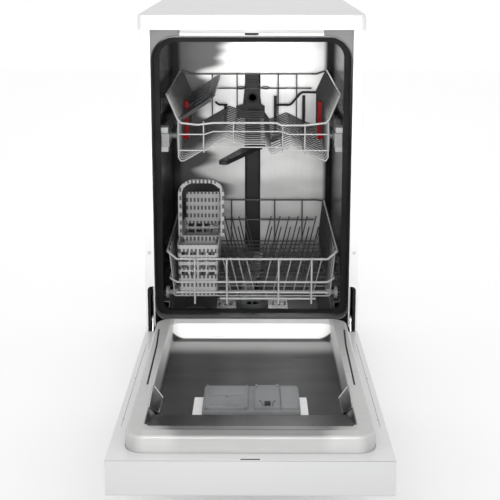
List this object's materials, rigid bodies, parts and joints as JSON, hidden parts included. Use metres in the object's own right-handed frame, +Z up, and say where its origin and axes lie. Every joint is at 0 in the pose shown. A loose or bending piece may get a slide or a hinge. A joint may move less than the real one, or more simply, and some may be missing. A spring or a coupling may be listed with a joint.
{
  "type": "dishwasher",
  "caption": "Slimline freestanding dishwasher, drop-down door open, with sliding wire racks, cutlery basket, cup shelf, spray arms and dispenser",
  "frame": {"origin": "on the floor, in the middle of the overall box of the machine with its door open level", "axes": "+X to the right seen from the front, +Y towards the back, +Z up; the door opens towards -Y"},
  "size_m": [0.45, 1.1363, 0.85],
  "materials": {
    "white_enamel": "smooth white enamel on sheet steel",
    "white_plastic": "white plastic, semi gloss",
    "stainless": "stainless sheet, satin",
    "galvanised": "galvanised steel, dull",
    "coated_wire": "grey plastic coating on steel wire",
    "grey_plastic": "mid grey moulded plastic",
    "pale_grey_plastic": "pale grey moulded plastic",
    "dark_plastic": "near black moulded plastic",
    "olive_plastic": "grey green moulded plastic",
    "smoked_plastic": "smoked plastic",
    "red_plastic": "red moulded plastic",
    "rubber": "black rubber",
    "bitumen": "bitumen sheet",
    "felt": "grey felt",
    "clear_plastic": "milky plastic"
  },
  "bodies": {
    "cabinet": {"air_break_chamber": "clear_plastic", "base_pan": "dark_plastic", "cabinet_screws": "galvanised", "cable_gland": "dark_plastic", "circulation_pump": "grey_plastic", "door_springs": "galvanised", "drain_outlet": "dark_plastic", "drain_pump": "grey_plastic", "filter_plate": "stainless", "front_crossbar": "galvanised", "hinge_brackets": "galvanised", "hinge_covers": "dark_plastic", "inlet_valve": "pale_grey_plastic", "plinth": "white_enamel", "rail_guides": "pale_grey_plastic", "rear_feet": "dark_plastic", "rear_panel": "galvanised", "side_panel_left": "white_enamel", "side_panel_right": "white_enamel", "softener_tank": "pale_grey_plastic", "sound_mat": "bitumen", "spray_feed_pipe": "dark_plastic", "sump": "dark_plastic", "tub": "stainless", "tub_gasket": "rubber", "worktop": "white_plastic"},
    "door": {"door_outer_panel": "white_enamel", "door_liner": "stainless", "control_fascia": "white_plastic", "control_module": "dark_plastic", "door_latch": "dark_plastic", "hinge_arms": "galvanised", "door_insulation": "felt", "dispenser_body": "grey_plastic"},
    "upper_rack": {"upper_rack_wires": "coated_wire", "upper_feed_duct": "dark_plastic"},
    "lower_rack": {"lower_rack_wires": "coated_wire", "lower_axle_blocks": "grey_plastic", "plate_tines": "coated_wire", "cutlery_basket": "grey_plastic"},
    "detergent_lid": {"detergent_lid": "pale_grey_plastic"},
    "rinse_aid_lid": {"rinse_aid_lid": "pale_grey_plastic"},
    "power_button": {"power_button": "grey_plastic"},
    "start_button": {"start_button": "grey_plastic"},
    "programme_knob": {"programme_knob": "pale_grey_plastic"},
    "upper_rails": {"upper_rails": "stainless"},
    "rack_carriage": {"rack_carriage": "olive_plastic"},
    "height_lever_left": {"height_lever_left": "red_plastic"},
    "height_lever_right": {"height_lever_right": "red_plastic"},
    "upper_wheels_front": {"upper_wheels_front": "grey_plastic"},
    "upper_wheels_rear": {"upper_wheels_rear": "grey_plastic"},
    "upper_spray_arm": {"upper_spray_arm": "grey_plastic"},
    "cup_shelf": {"cup_shelf": "smoked_plastic"},
    "lower_wheels_front": {"lower_wheels_front": "grey_plastic"},
    "lower_wheels_rear": {"lower_wheels_rear": "grey_plastic"},
    "lower_spray_arm": {"lower_spray_arm": "grey_plastic"},
    "filter_cup": {"filter_cup": "grey_plastic"},
    "salt_cap": {"salt_cap": "grey_plastic"},
    "foot_front_left": {"foot_front_left": "dark_plastic"},
    "foot_front_right": {"foot_front_right": "dark_plastic"}
  },
  "joints": [
    {"name": "door_hinge", "type": "hinge", "parent": "cabinet", "child": "door", "pos_m": [0, 0.04715, 0.2024], "axis": [1, 0, 0], "range_deg": [-87.43, 0]},
    {"name": "detergent_lid_slide", "type": "slide", "parent": "door", "child": "detergent_lid", "axis": [0, 0.999, -0.0448], "range_m": [0, 0.06]},
    {"name": "rinse_aid_lid_hinge", "type": "hinge", "parent": "door", "child": "rinse_aid_lid", "pos_m": [0.0285, -0.31105, 0.21487], "axis": [-1, 0, 0], "range_deg": [0, 100]},
    {"name": "power_button_push", "type": "slide", "parent": "door", "child": "power_button", "axis": [0, 0.0448, 0.999], "range_m": [0, 0.003], "stiffness_N_per_m": 400},
    {"name": "start_button_push", "type": "slide", "parent": "door", "child": "start_button", "axis": [0, 0.0448, 0.999], "range_m": [0, 0.003], "stiffness_N_per_m": 400},
    {"name": "programme_knob_turn", "type": "hinge", "parent": "door", "child": "programme_knob", "pos_m": [0.02, -0.51787, 0.14768], "axis": [0, 0.0448, 0.999], "range_deg": [0, 300]},
    {"name": "upper_rail_slide", "type": "slide", "parent": "cabinet", "child": "upper_rails", "axis": [0, -1, 0], "range_m": [0, 0.3]},
    {"name": "carriage_slide", "type": "slide", "parent": "upper_rails", "child": "rack_carriage", "axis": [0, -1, 0], "range_m": [0, 0.034]},
    {"name": "upper_wheels_front_roll", "type": "hinge", "parent": "rack_carriage", "child": "upper_wheels_front", "pos_m": [0, 0.12015, 0.587], "axis": [1, 0, 0], "range_deg": [0, 180]},
    {"name": "upper_wheels_rear_roll", "type": "hinge", "parent": "rack_carriage", "child": "upper_wheels_rear", "pos_m": [0, 0.30615, 0.587], "axis": [1, 0, 0], "range_deg": [0, 180]},
    {"name": "upper_rack_height", "type": "slide", "parent": "rack_carriage", "child": "upper_rack", "axis": [0, 0, 1], "range_m": [0, 0.04]},
    {"name": "height_lever_left_tip", "type": "hinge", "parent": "rack_carriage", "child": "height_lever_left", "pos_m": [-0.1433, 0.21139, 0.569], "axis": [0, 1, 0], "range_deg": [0, 6], "stiffness_Nm_per_rad": 2},
    {"name": "height_lever_right_tip", "type": "hinge", "parent": "rack_carriage", "child": "height_lever_right", "pos_m": [0.1493, 0.21139, 0.569], "axis": [0, 1, 0], "range_deg": [-6, 0], "stiffness_Nm_per_rad": 2},
    {"name": "cup_shelf_hinge", "type": "hinge", "parent": "upper_rack", "child": "cup_shelf", "pos_m": [-0.1495, 0.27615, 0.626], "axis": [0, 1, 0], "range_deg": [-46, 0]},
    {"name": "upper_arm_spin", "type": "hinge", "parent": "upper_rack", "child": "upper_spray_arm", "pos_m": [0.004, 0.29115, 0.524], "axis": [0, 0, 1], "continuous": true},
    {"name": "lower_rack_slide", "type": "slide", "parent": "cabinet", "child": "lower_rack", "axis": [0, -1, 0], "range_m": [0, 0.44]},
    {"name": "lower_wheels_front_roll", "type": "hinge", "parent": "lower_rack", "child": "lower_wheels_front", "pos_m": [0, 0.09585, 0.2468], "axis": [1, 0, 0], "range_deg": [0, 2000]},
    {"name": "lower_wheels_rear_roll", "type": "hinge", "parent": "lower_rack", "child": "lower_wheels_rear", "pos_m": [0, 0.47246, 0.2468], "axis": [1, 0, 0], "range_deg": [0, 2000]},
    {"name": "lower_arm_spin", "type": "hinge", "parent": "cabinet", "child": "lower_spray_arm", "pos_m": [0, 0.30615, 0.211], "axis": [0, 0, 1], "continuous": true},
    {"name": "filter_cup_turn", "type": "hinge", "parent": "cabinet", "child": "filter_cup", "pos_m": [0, 0.22115, 0.185], "axis": [0, 0, 1], "range_deg": [0, 60]},
    {"name": "salt_cap_turn", "type": "hinge", "parent": "cabinet", "child": "salt_cap", "pos_m": [-0.127, 0.15815, 0.165], "axis": [0, 0, 1], "range_deg": [0, 540]},
    {"name": "foot_front_left_screw", "type": "slide", "parent": "cabinet", "child": "foot_front_left", "axis": [0, 0, 1], "range_m": [-0.02, 0]},
    {"name": "foot_front_right_screw", "type": "slide", "parent": "cabinet", "child": "foot_front_right", "axis": [0, 0, 1], "range_m": [-0.02, 0]}
  ],
  "couplings": [
    {"joint": "upper_wheels_front_roll", "follows": "carriage_slide", "rad_per_m": 86.207},
    {"joint": "lower_wheels_front_roll", "follows": "lower_rack_slide", "rad_per_m": 78.74},
    {"joint": "upper_wheels_rear_roll", "follows": "carriage_slide", "rad_per_m": 86.207},
    {"joint": "lower_wheels_rear_roll", "follows": "lower_rack_slide", "rad_per_m": 78.74}
  ]
}
